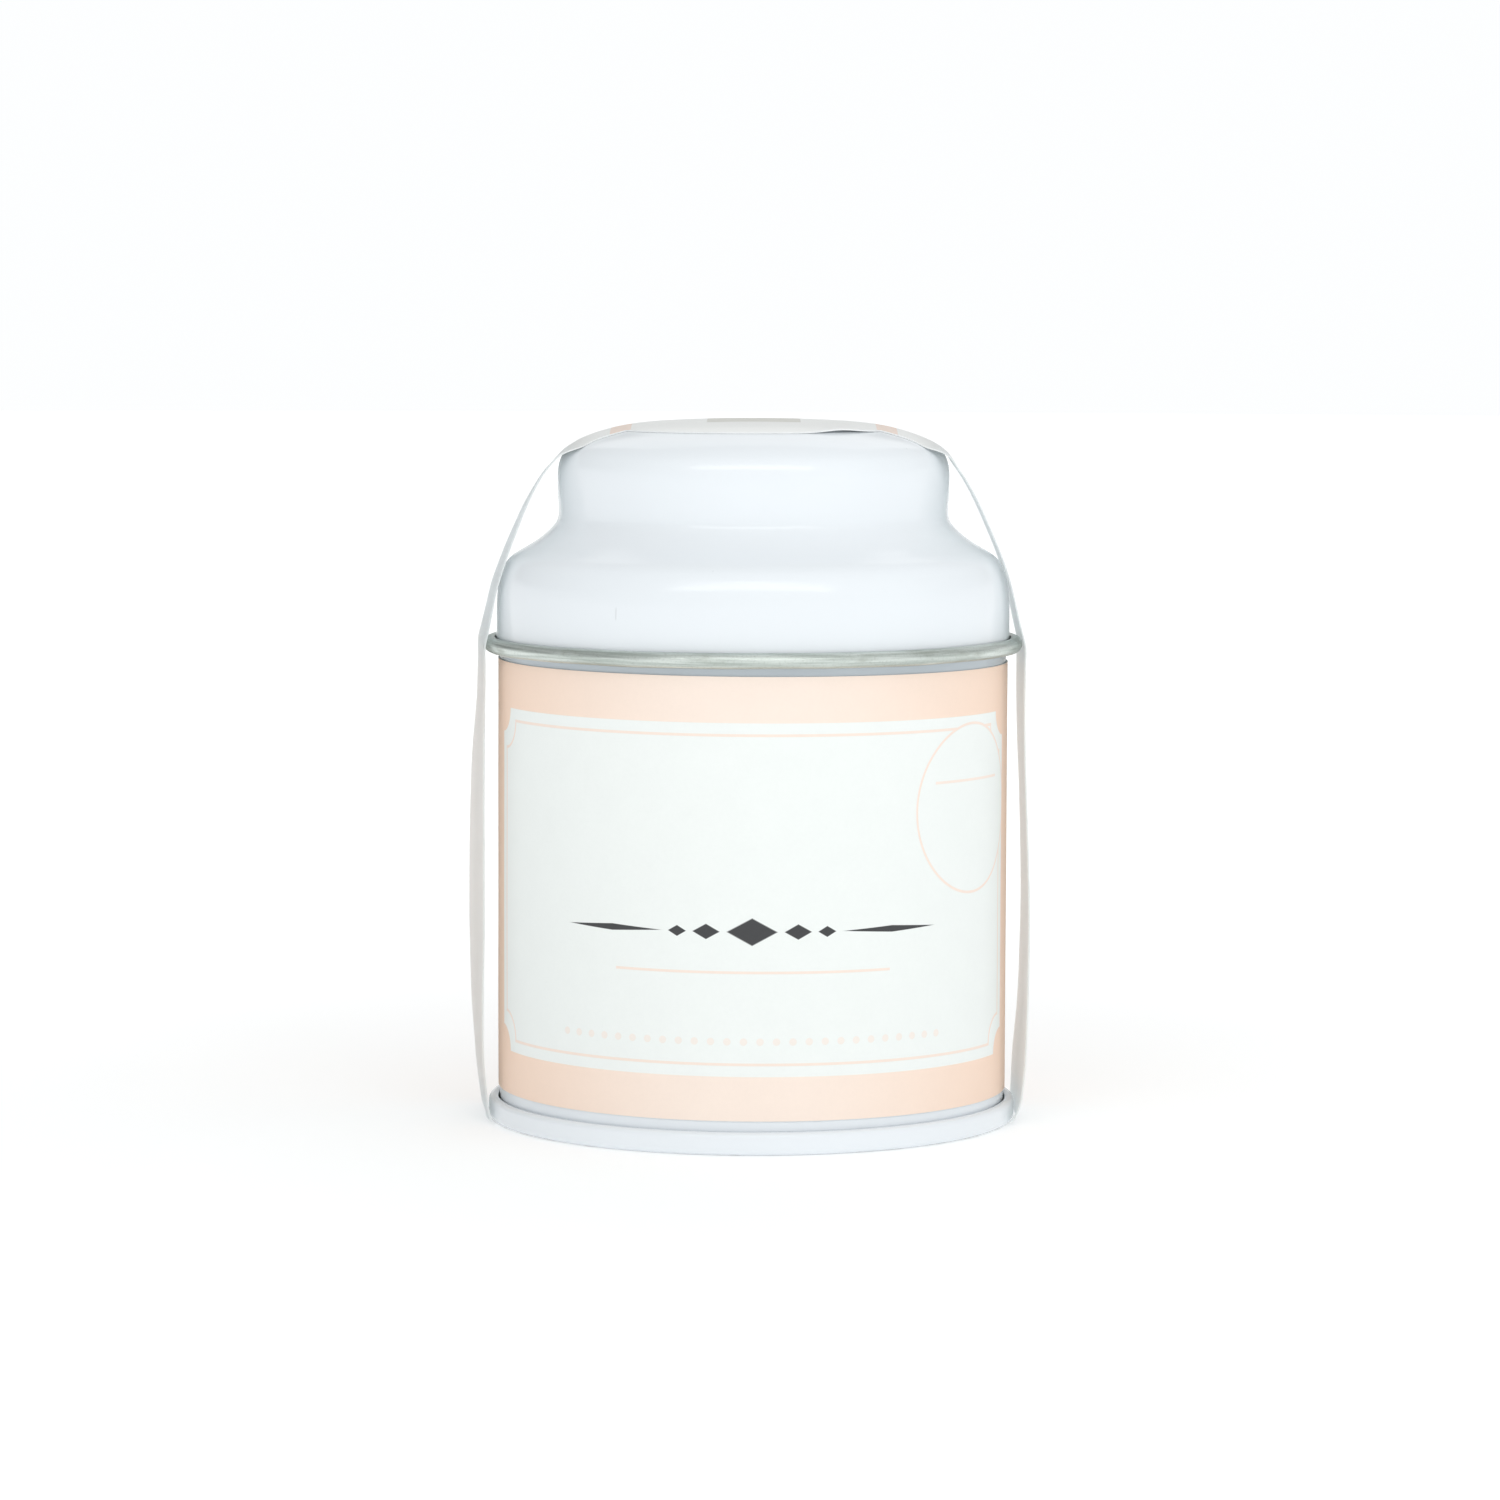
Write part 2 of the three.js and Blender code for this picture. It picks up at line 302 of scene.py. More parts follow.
# --------------------------------------------------------------------------
# materials
# --------------------------------------------------------------------------
def lacquer(name, tint, rough=0.17, specks=True, foot=False, scratch=False, painted_shade=None):
    """White stove lacquer over tinplate: slow orange peel, slight tone drift, a few tiny specks."""
    t = Tree(name)
    v = t.coords()
    drift = t.noise(v, 0.05, 2.0)
    base = t.mix(t.ramp(drift, 0.35, 0.65), [c * 0.985 for c in tint], tint)
    arc_mm, r, z = around(t, v)
    if painted_shade:
        # painted shade under the lid's bead: the colour darkens up the wall from z 30 to z 43
        base = t.mix(t.ramp(z, 30.0, 43.0), base, painted_shade)
    if specks:
        speck = t.ramp(t.voronoi(v, 0.25), 0.014, 0.028, 1.0, 0.0)
        gate = t.ramp(t.noise(v, 0.13, 1.0), 0.53, 0.57)
        base = t.mix(t.math("MULTIPLY", t.math("MULTIPLY", speck, gate), 0.32), base, (0.34, 0.35, 0.36))
    if scratch:
        # one short rub mark on the drum, left of the front
        dx = t.math("ABSOLUTE", t.math("SUBTRACT", arc_mm, -13.0))
        dz = t.math("ABSOLUTE", t.math("SUBTRACT", z, 48.8))
        mark = t.math("MULTIPLY", t.ramp(dx, 0.03, 0.09, 1.0, 0.0), t.ramp(dz, 0.35, 0.7, 1.0, 0.0))
        base = t.mix(t.math("MULTIPLY", mark, 0.28), base, (0.40, 0.42, 0.43))
    if foot:
        # the ring's standing edge is rubbed to bare metal in places
        wear = t.math(
            "MULTIPLY",
            t.ramp(z, 0.02, 0.2, 1.0, 0.0),
            t.ramp(t.noise(t.join(t.math("MULTIPLY", arc_mm, 0.35), r, z), 1.2, 4.0), 0.52, 0.66),
        )
        base = t.mix(t.math("MULTIPLY", wear, 0.6), base, (0.42, 0.43, 0.42))
    peel = t.noise(v, 0.25, 1.0)
    t.set(Base_Color=base, Roughness=rough, Normal=t.bump(peel, 0.3, 0.000004))
    t.bsdf.inputs["Specular IOR Level"].default_value = 0.5
    return t.mat


def tinplate(name):
    """Bare tin-coated steel: drawn streaks along the roll, dull patches, small stains."""
    t = Tree(name)
    v = t.coords()
    arc_mm, r, z = around(t, v)
    streak = t.noise(t.join(t.math("MULTIPLY", arc_mm, 0.10), t.math("MULTIPLY", r, 3.2), t.math("MULTIPLY", z, 3.2)), 1.0, 5.0, 0.65)
    patch = t.noise(t.join(t.math("MULTIPLY", arc_mm, 0.22), r, t.math("MULTIPLY", z, 0.8)), 0.9, 3.0, 0.55)
    grain = t.noise(v, 4.5, 2.0)
    col = t.mix(t.ramp(streak, 0.3, 0.7), (0.415, 0.465, 0.43), (0.72, 0.77, 0.735))
    col = t.mix(t.math("MULTIPLY", t.ramp(patch, 0.52, 0.7), 0.55), col, (0.36, 0.39, 0.345))
    col = t.mix(t.math("MULTIPLY", t.ramp(grain, 0.5, 0.75), 0.25), col, (0.30, 0.32, 0.29))
    rgh = t.math("ADD", t.ramp(streak, 0.25, 0.75, 0.30, 0.42), t.ramp(patch, 0.45, 0.7, 0.0, 0.10))
    h = t.math("ADD", streak, t.math("MULTIPLY", grain, 0.35))
    t.set(Base_Color=col, Roughness=rgh, Normal=t.bump(h, 0.4, 0.00004))
    t.bsdf.inputs["Metallic"].default_value = 1.0
    return t.mat


def paper_surface(t, col, rough, v, tooth=1.0):
    """Fibre, faint mottling and tooth of a coated paper."""
    fibre = t.noise(v, 2.6, 5.0, 0.7)
    mottle = t.noise(v, 0.35, 3.0)
    k = t.math("ADD", t.ramp(fibre, 0.25, 0.75, 0.978, 1.0, False), t.ramp(mottle, 0.3, 0.7, -0.012, 0.0, False))
    col = t.mix(1.0, col, t.join(k, k, k), "MULTIPLY")
    t.set(
        Base_Color=col,
        Roughness=t.ramp(fibre, 0.3, 0.7, rough - 0.05, rough + 0.06),
        Normal=t.bump(t.math("ADD", fibre, t.math("MULTIPLY", mottle, 0.8)), 0.3 * tooth, 0.00003),
    )
    t.bsdf.inputs["Specular IOR Level"].default_value = 0.35


WHITE_PAPER = (0.885, 0.92, 0.90)
PEACH = (0.945, 0.715, 0.57)
# paler peach for the front of the label: painted sheen
PEACH_PAINTED_SHEEN = (0.955, 0.82, 0.725)
PALE_PEACH = (0.925, 0.785, 0.695)
DARK_INK = (0.022, 0.022, 0.026)
DIVIDER_Z = 20.3
DOTS_Z = 10.3


def let_light_through(t, amount):
    """Thin paper: part of the light that reaches one face leaves by the other, where it hangs free."""
    uv = t.new("ShaderNodeUVMap", uv_map="print")
    u, _, _ = t.split(uv.outputs[0])
    along = t.math("ABSOLUTE", t.math("MULTIPLY_ADD", u, 200.0, -100.0))
    tr = t.new("ShaderNodeBsdfTranslucent")
    m = t.new("ShaderNodeMixShader")
    t.link(t.ramp(along, 14.0, 22.0, 0.04, amount), m.inputs[0])
    src = t.bsdf.inputs["Base Color"].links[0].from_socket
    t.link(src, tr.inputs["Color"])
    t.link(t.bsdf.outputs[0], m.inputs[1])
    t.link(tr.outputs[0], m.inputs[2])
    t.link(m.outputs[0], t.out.inputs["Surface"])


def plain_paper(name, tint, rough=0.6, through=0.0):
    t = Tree(name)
    paper_surface(t, list(tint) + [1.0], rough, t.coords())
    if through:
        let_light_through(t, through)
    return t.mat


def label_print(name):
    """Peach ground, a white panel with scooped corners, a fine frame, a ring and two rules.
    The drawing is in label millimetres: x along the wrap from the front, z up."""
    t = Tree(name)
    uv = t.new("ShaderNodeUVMap", uv_map="print")
    u, w, _ = t.split(uv.outputs[0])
    x = t.math("MULTIPLY_ADD", u, 200.0, -100.0)
    z = t.math("MULTIPLY", w, 100.0)

    def scooped(cx, cz, hw, hh, r):
        """Distance to a rectangle whose corners are scooped out by circles of radius r."""
        qx = t.math("ABSOLUTE", t.math("SUBTRACT", x, cx))
        qz = t.math("ABSOLUTE", t.math("SUBTRACT", z, cz))
        dx = t.math("SUBTRACT", qx, hw)
        dz = t.math("SUBTRACT", qz, hh)
        corner = t.math("SQRT", t.math("ADD", t.math("MULTIPLY", dx, dx), t.math("MULTIPLY", dz, dz)))
        return t.math("MAXIMUM", t.math("MAXIMUM", dx, dz), t.math("SUBTRACT", r, corner))

    def inside(d, soft=0.035):
        return t.ramp(d, -soft, soft, 1.0, 0.0)

    def line(d, width, soft=0.035):
        return inside(t.math("SUBTRACT", t.math("ABSOLUTE", d), width / 2), soft)

    def both(a, b):
        return t.math("MULTIPLY", a, b)

    def rule(x0, x1, zz, width):
        return both(
            line(t.math("SUBTRACT", z, zz), width),
            line(t.math("SUBTRACT", x, (x0 + x1) / 2), x1 - x0),
        )

    panel = inside(scooped(0.1, 23.155, 31.5, 16.045, 2.3))
    frame_line = line(scooped(0.1, 23.155, 30.39, 14.935, 2.6), 0.25)
    bx, bz, br = 24.0, 30.68, 7.8
    ex = t.math("SUBTRACT", x, bx)
    ez = t.math("SUBTRACT", z, bz)
    ring_d = t.math("SUBTRACT", t.math("SQRT", t.math("ADD", t.math("MULTIPLY", ex, ex), t.math("MULTIPLY", ez, ez))), br)
    ring = both(line(ring_d, 0.24), panel)
    clear = t.math("SUBTRACT", 1.0, inside(ring_d))
    frame_line = both(frame_line, clear)
    ink = t.math("MAXIMUM", frame_line, ring)
    ink = t.math("MAXIMUM", ink, t.math("MULTIPLY", rule(18.5, 29.2, 33.28, 0.24), 0.9))
    ink = t.math("MAXIMUM", ink, rule(-13.0, 13.2, 16.6, 0.24))
    def lozenge(cx, cz, a, b):
        return inside(
            t.math(
                "SUBTRACT",
                t.math(
                    "ADD",
                    t.math("MULTIPLY", t.math("ABSOLUTE", t.math("SUBTRACT", x, cx)), 1 / a),
                    t.math("MULTIPLY", t.math("ABSOLUTE", t.math("SUBTRACT", z, cz)), 1 / b),
                ),
                1.0,
            ),
            0.06,
        )

    # a divider of lozenges and two lines that taper outwards
    dark = lozenge(0.0, DIVIDER_Z, 2.3, 1.25)
    for cx, a, b in ((4.2, 1.25, 0.7), (6.9, 0.85, 0.5)):
        dark = t.math("MAXIMUM", dark, t.math("MAXIMUM", lozenge(-cx, DIVIDER_Z, a, b), lozenge(cx, DIVIDER_Z, a, b)))
    for sign in (-1, 1):
        dark = t.math("MAXIMUM", dark, lozenge(sign * 13.4, DIVIDER_Z, 5.0, 0.3))
    # a line of dots near the foot of the panel
    cell = t.math("SUBTRACT", t.math("FRACT", t.math("MULTIPLY", x, 1 / 1.5)), 0.5)
    cell = t.math("MULTIPLY", cell, 1.5)
    dz = t.math("SUBTRACT", z, DOTS_Z)
    dot = t.math("SQRT", t.math("ADD", t.math("MULTIPLY", cell, cell), t.math("MULTIPLY", dz, dz)))
    dots = both(inside(t.math("SUBTRACT", dot, 0.34)), line(t.math("SUBTRACT", x, 0.0), 39.0))
    ink = t.math("MAXIMUM", ink, t.math("MULTIPLY", dots, 0.55))
    # the peach is paler across the front: a painted sheen
    ground = t.mix(t.ramp(t.math("ABSOLUTE", x), 2.0, 34.0), list(PEACH_PAINTED_SHEEN) + [1.0], list(PEACH) + [1.0])
    col = t.mix(panel, ground, list(WHITE_PAPER) + [1.0])
    col = t.mix(t.math("MULTIPLY", ink, panel), col, list(PALE_PEACH) + [1.0])
    col = t.mix(t.math("MULTIPLY", dark, 0.96), col, list(DARK_INK) + [1.0])
    paper_surface(t, col, 0.5, t.coords())
    return t.mat


def strip_print(name):
    """White paper with two pale peach bands and a plain greyed panel where it crosses the dome."""
    t = Tree(name)
    uv = t.new("ShaderNodeUVMap", uv_map="print")
    u, w, _ = t.split(uv.outputs[0])
    s = t.math("MULTIPLY_ADD", u, 200.0, -100.0)  # along the strip from the crown
    q = t.math("MULTIPLY_ADD", w, 40.0, -20.0)  # across it
    a = t.math("ABSOLUTE", s)
    bar = t.math("SUBTRACT", t.math("ABSOLUTE", t.math("SUBTRACT", a, 12.4)), 1.0)
    da = t.math("SUBTRACT", a, 4.35)
    dq = t.math("SUBTRACT", t.math("ABSOLUTE", q), 6.4)
    patch = t.ramp(t.math("MAXIMUM", da, dq), -0.05, 0.05, 1.0, 0.0)
    db = t.math("SUBTRACT", t.math("ABSOLUTE", q), 6.8)
    band = t.ramp(t.math("MAXIMUM", bar, db), -0.05, 0.05, 1.0, 0.0)
    white = t.mix(t.ramp(a, 16.0, 22.0), [0.94, 0.955, 0.94, 1.0], [0.97, 0.988, 0.99, 1.0])
    col = t.mix(band, white, [0.95, 0.79, 0.69, 1.0])
    col = t.mix(patch, col, [0.72, 0.715, 0.66, 1.0])
    paper_surface(t, col, 0.34, t.coords(), 0.3)
    let_light_through(t, 0.58)
    return t.mat


def floor_material():
    t = Tree("floor_white")
    v = t.coords()
    x, y, _ = t.split(v)
    r = t.math("SQRT", t.math("ADD", t.math("MULTIPLY", x, x), t.math("MULTIPLY", y, y)))
    n = t.noise(v, 0.02, 2.0)
    col = t.mix(n, (0.80, 0.81, 0.81), (0.83, 0.835, 0.835))
    t.set(Base_Color=col)
    t.bsdf.inputs["Roughness"].default_value = 0.65
    t.bsdf.inputs["Specular IOR Level"].default_value = 0.2
    t.put(t.bsdf.inputs["Emission Color"], (1.0, 1.0, 1.0))
    # the floor glows: painted light that whitens it, weaker within 30 mm of the tin as painted shade round it, rising
    # to its full glow by 260 mm
    t.put(t.bsdf.inputs["Emission Strength"], t.ramp(r, 30.0, 260.0, 0.27, 0.5))
    return t.mat


MAT_LID = lacquer("lid_lacquer_white", (0.83, 0.872, 0.905), 0.17, scratch=True)
# the can wall's colour is darkened near its top as painted shade under the lid's bead
MAT_CAN = lacquer("can_lacquer_white", (0.82, 0.86, 0.895), 0.2, specks=False, painted_shade=(0.56, 0.615, 0.66))
MAT_BASE = lacquer("base_lacquer_white", (0.83, 0.872, 0.908), 0.18, foot=True)
MAT_TIN = tinplate("tinplate_bare")
MAT_LABEL = label_print("label_print_peach")
MAT_EDGE = plain_paper("label_paper_edge", (0.90, 0.90, 0.88))
MAT_STRIP = strip_print("strip_print_white")
MAT_STRIP_BACK = plain_paper("strip_paper_back", (0.955, 0.975, 0.975), 0.65, through=0.58)


# --------------------------------------------------------------------------
# lid: one stamping with an outward-rolled edge
# --------------------------------------------------------------------------
SHEET = 0.25


def ripple(t, seed):
    """A few slow waves round the axis, as pressed sheet has."""
    return (
        0.5 * math.sin(3 * t + seed)
        + 0.3 * math.sin(5 * t + 1.7 * seed)
        + 0.2 * math.sin(8 * t + 2.9 * seed)
    )


LID_KEYS = [
    (0, 65.77), (3, 65.745), (6.0, 65.68), (8.2, 65.58), (10.1, 65.45), (12.5, 65.11),
    (14.5, 64.59), (16.1, 63.99), (17.15, 63.37), (17.88, 62.67), (18.24, 61.84), (18.38, 60.99),
    (18.4, 59.99), (18.37, 58.89), (18.31, 57.79), (18.3, 57.1), (18.36, 56.62), (18.54, 56.2),
    (18.84, 55.82), (19.2, 55.45), (19.7, 55.0), (20.36, 54.5), (21.06, 54.05), (21.88, 53.58),
    (22.58, 53.14), (23.05, 52.7), (23.36, 52.2), (23.58, 51.68), (23.75, 51.2), (23.87, 50.75),
    (23.96, 50.25), (24.03, 49.75), (24.09, 48.9), (24.12, 47.8), (24.12, 46.69), (24.13, 46.14), (24.145, 45.69), (24.155, 45.29), (24.165, 45.05),
]
LID_FACE = spline(LID_KEYS, 5, first=(-3, 65.745))
LID_TILT = 0.0022  # the lid sits a hair higher on the right


def lid_z(r):
    """Height of the dome at a radius; past its shoulder, the slope there carried on."""
    if r > 17.0:
        return 63.47 - 0.59 * (r - 17.0)
    for p, q in zip(LID_FACE, LID_FACE[1:]):
        if r <= q.x:
            return p.y + (q.y - p.y) * (r - p.x) / (q.x - p.x)


def make_lid():
    face = list(LID_FACE)
    n_white = len(face)
    face += arc(24.64, 44.85, 0.47, 180, 480, 30)
    back = offset(face, SHEET)
    profile = face + back[::-1]
    n_face = len(face)

    def seg(i):
        return 0 if i < n_white - 1 else 1

    def bend(i, t, r, z):
        k = smoothstep(z, 62.9, 60.4)
        r += 0.018 * k * ripple(t, 0.8) * (1 if r > 15 else r / 15)
        # the roll is not quite even along its length
        c = smoothstep(z, 46.0, 45.0)
        r += 0.012 * c * math.sin(11 * t + 0.4) + 0.008 * c * math.sin(23 * t + 2.0)
        z += c * (0.020 * math.sin(7 * t + 1.1) + 0.012 * math.sin(17 * t))
        z += LID_TILT * r * math.sin(t)
        return r, z

    o = lathe("lid_stamping", profile, angles(288), [MAT_LID, MAT_TIN], seg, bend, sharp=45)
    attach(o, "root")
    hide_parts("lid")
    return o


# --------------------------------------------------------------------------
# can wall: rolled sheet with its folded side seam at the back
# --------------------------------------------------------------------------
WALL_R = 23.82


def make_wall():
    face = [Vector((24.4, 0.85)), Vector((24.12, 0.85))]
    face += arc(24.02, 1.05, 0.2, 270, 180, 6)
    face += [Vector((WALL_R, z)) for z in (1.6, 2.3, 3.0, 3.4, 8, 16, 24, 32, 38, 42, 43.2, 43.8, 44.6, 45.6, 46.6)]
    face += arc(WALL_R - 0.5, 47.29, 0.5, 0, 240, 20)
    back = offset(face, -SHEET)
    n = len(face)
    profile = face + back[::-1]

    def seg(i):
        return 0 if i < n - 22 else 1

    def bend(i, t, r, z):
        arc_mm = ((t - math.pi + math.pi) % TAU - math.pi) * WALL_R
        mid = smoothstep(z, 1.2, 2.2) * (1 - smoothstep(z, 45.4, 46.6))
        if i < n:
            # the fold shows outside as a narrow groove beside a slight step
            r -= mid * 0.13 * math.exp(-((arc_mm + 1.6) / 0.16) ** 2)
            r += mid * 0.03 * smoothstep(abs(arc_mm), 2.1, 1.5)
        else:
            r -= mid * 0.48 * smoothstep(abs(arc_mm), 2.2, 1.9)
        r += 0.01 * ripple(t, 2.2)
        return r, z

    o = lathe("can_wall_rolled", profile, angles(240, (math.pi, 0.13, 72)), [MAT_CAN, MAT_TIN], seg, bend, sharp=40)
    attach(o, "root")
    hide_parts("can_wall")
    return o


# --------------------------------------------------------------------------
# base: stamped panel and seam ring
# --------------------------------------------------------------------------
def make_base():
    keys = [
        (0, 1.75), (5, 1.75), (10, 1.75), (14.5, 1.75), (16.2, 1.74), (16.75, 1.64), (17.15, 1.46),
        (17.6, 1.36), (18.6, 1.35), (20.4, 1.35), (21.6, 1.34), (22.2, 1.24), (22.6, 0.98), (22.82, 0.58),
        (22.98, 0.26), (23.2, 0.06), (23.5, 0.0), (24.2, 0.0), (24.5, 0.045), (24.72, 0.17), (24.84, 0.37),
        (24.87, 0.62), (24.87, 1.1), (24.87, 1.5), (24.84, 1.75), (24.72, 1.95), (24.5, 2.075), (24.25, 2.11),
        (24.05, 2.06), (23.95, 1.93),
    ]
    face = spline(keys, 4, first=(-5, 1.75))
    face = [Vector((p.x, max(p.y, 0.0))) for p in face]
    back = offset(face, -SHEET)
    n = len(face)
    profile = face + back[::-1]

    def seg(i):
        return 0 if i < n else 1

    def bend(i, t, r, z):
        k = smoothstep(r, 24.3, 24.8)
        r += 0.012 * k * ripple(t, 1.3)
        z += 0.02 * (1 - smoothstep(r, 14, 16)) * math.cos(r * 0.35)
        return r, z

    o = lathe("base_stamping", profile, angles(240), [MAT_BASE, MAT_TIN], seg, bend, sharp=45)
    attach(o, "root")
    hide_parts("base_end")
    return o


# --------------------------------------------------------------------------
# wrap label
# --------------------------------------------------------------------------
LABEL_Z0, LABEL_Z1 = 3.05, 43.39
LABEL_T = 0.12


def make_label():
    a0, a1 = -198.0, 180.0  # degrees from the front; the last 18 lie over the first
    steps = 520
    rows = [0.0, 0.15, 0.5] + [2 + 36 * i / 14 for i in range(15)] + [LABEL_Z1 - LABEL_Z0 - 0.5, LABEL_Z1 - LABEL_Z0 - 0.15, LABEL_Z1 - LABEL_Z0]
    verts, uv = [], []

    def radius(a, h):
        r = WALL_R + 0.045
        # the free end climbs onto the start of the wrap
        r += (LABEL_T + 0.02) * smoothstep(a, 158.5, 162.2)
        # it lifts a little at its very end, more at its lower corner
        r += 0.10 * smoothstep(a, 177.6, 180.0) * (0.35 + 0.65 * (1 - smoothstep(h, 0, 16)))
        # the can's side seam telegraphs through the paper
        for c in (180.0, -180.0):
            d = (a - c) * math.pi / 180 * 24
            r += 0.035 * smoothstep(abs(d), 2.4, 1.4) - 0.03 * math.exp(-((d + 1.6) / 0.25) ** 2)
        r += 0.010 * math.sin(math.radians(a) * 4 + 0.6) * math.sin(h * 0.12)
        r += 0.006 * math.sin(math.radians(a) * 13 + h * 0.31)
        return r

    na, nr = steps + 1, len(rows)
    for side in range(2):
        for i in range(na):
            a = a0 + (a1 - a0) * i / steps
            ar = math.radians(a)
            xmm = ar * 24.0
            for h in rows:
                r = radius(a, h) + (LABEL_T if side else 0.0)
                z = LABEL_Z0 + h - 0.0032 * xmm
                verts.append((r * math.sin(ar), -r * math.cos(ar), z))
                uv.append(((xmm + 100.0) / 200.0, (LABEL_Z0 + h) / 100.0))
    faces, fm = [], []

    def vid(side, i, j):
        return side * na * nr + i * nr + j

    for i in range(steps):
        for j in range(nr - 1):
            faces.append((vid(1, i, j), vid(1, i + 1, j), vid(1, i + 1, j + 1), vid(1, i, j + 1)))
            fm.append(0)
            faces.append((vid(0, i, j), vid(0, i, j + 1), vid(0, i + 1, j + 1), vid(0, i + 1, j)))
            fm.append(1)
        for j, flip in ((0, False), (nr - 1, True)):
            f = (vid(0, i, j), vid(0, i + 1, j), vid(1, i + 1, j), vid(1, i, j))
            faces.append(f[::-1] if flip else f)
            fm.append(1)
    for i, flip in ((0, True), (steps, False)):
        for j in range(nr - 1):
            f = (vid(0, i, j), vid(0, i, j + 1), vid(1, i, j + 1), vid(1, i, j))
            faces.append(f[::-1] if flip else f)
            fm.append(1)
    o = mesh_object("label_sheet", verts, faces, [MAT_LABEL, MAT_EDGE], fm, uv=uv)
    fix_normals(o)
    o.data.set_sharp_from_angle(angle=math.radians(40))
    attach(o, "root")
    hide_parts("wrap_label")
    return o


# --------------------------------------------------------------------------
# seal strip
# --------------------------------------------------------------------------
STRIP_HALF = 10.6  # half width before it is shaped
STRIP_LEG = 6.6  # half width down the sides
STRIP_DISC = 13.5  # its round middle
STRIP_T = 0.13


# distance from the axis, height, and turn in degrees, from the crown to each foot
STRIP_LEFT = [
    (0, 65.89, 0), (2.5, 65.875, 0), (5, 65.83, 0), (7.6, 65.74, 0), (10.1, 65.6, 0), (11.8, 65.38, 0),
    (12.5, 65.26, 0), (14.4, 64.76, 0), (16.1, 64.12, 0), (17.05, 63.57, 0), (17.78, 63.02, 0),
    (18.4, 62.4, 0.25), (19.1, 61.6, 0.7), (19.9, 60.6, 1.4), (21.45, 57.8, 2.7), (22.3, 55.8, 3.4),
    (23.08, 53.9, 3.85), (23.78, 52, 4.2), (24.4, 50.1, 4.6), (24.84, 48.1, 4.9), (25.27, 46.2, 5.3),
    (25.58, 44.85, 5.4), (25.6, 43, 5.5), (25.66, 39.5, 5.9), (25.9, 33.7, 7.9), (26, 26.5, 8.6),
    (26.05, 18, 8.6), (26.03, 10.5, 7.4), (25.84, 6.2, 6.3), (25.68, 4.2, 6.3), (25.5, 2.6, 6.1),
    (25.38, 1.5, 6), (25.28, 0.8, 5.9), (25.2, 0.3, 5.9),
]
STRIP_RIGHT = [
    (0, 65.89, 0), (2.5, 65.875, 0), (5, 65.83, 0), (7.6, 65.74, 0), (10.1, 65.62, 0), (11.8, 65.42, 0),
    (12.5, 65.3, 0), (14.5, 64.8, 0), (16.2, 64.16, 0), (17.25, 63.56, 0), (17.9, 63.02, 0), (18.4, 62.5, 0),
    (19, 61.55, 0), (19.65, 60.6, 0), (20.7, 58.8, 0), (21.56, 57, 0), (22.4, 55.1, 0), (23.15, 53.3, 0),
    (23.82, 51.4, 0), (24.3, 49.6, 0), (24.75, 47.7, 0.2), (25.1, 46.4, 0.4), (25.47, 44.85, 0.6),
    (25.42, 43, 0.6), (25.36, 40.3, 0.6), (25.42, 35.7, 0.5), (25.58, 31.1, 0.25), (25.74, 26.4, 0.3),
    (25.9, 20, 0.4), (25.84, 13, 0.9), (25.72, 9.6, 1.4), (25.46, 5.9, 2.3), (25.32, 4, 2), (25.22, 2.6, 1.6),
    (25.13, 1.5, 1.2), (25.07, 0.8, 1), (25.04, 0.3, 1),
]


def strip_width(x):
    """Half width of the strip: round in the middle, even elsewhere."""
    return max(STRIP_LEG, math.sqrt(max(STRIP_DISC ** 2 - x * x, 0.0)))


def turn_at(table, z):
    for (_, z0, a0), (_, z1, a1) in zip(table, table[1:]):
        if z >= z1:
            return math.radians(a0 + (a1 - a0) * min(max((z0 - z) / (z0 - z1), 0.0), 1.0))
    return math.radians(table[-1][2])


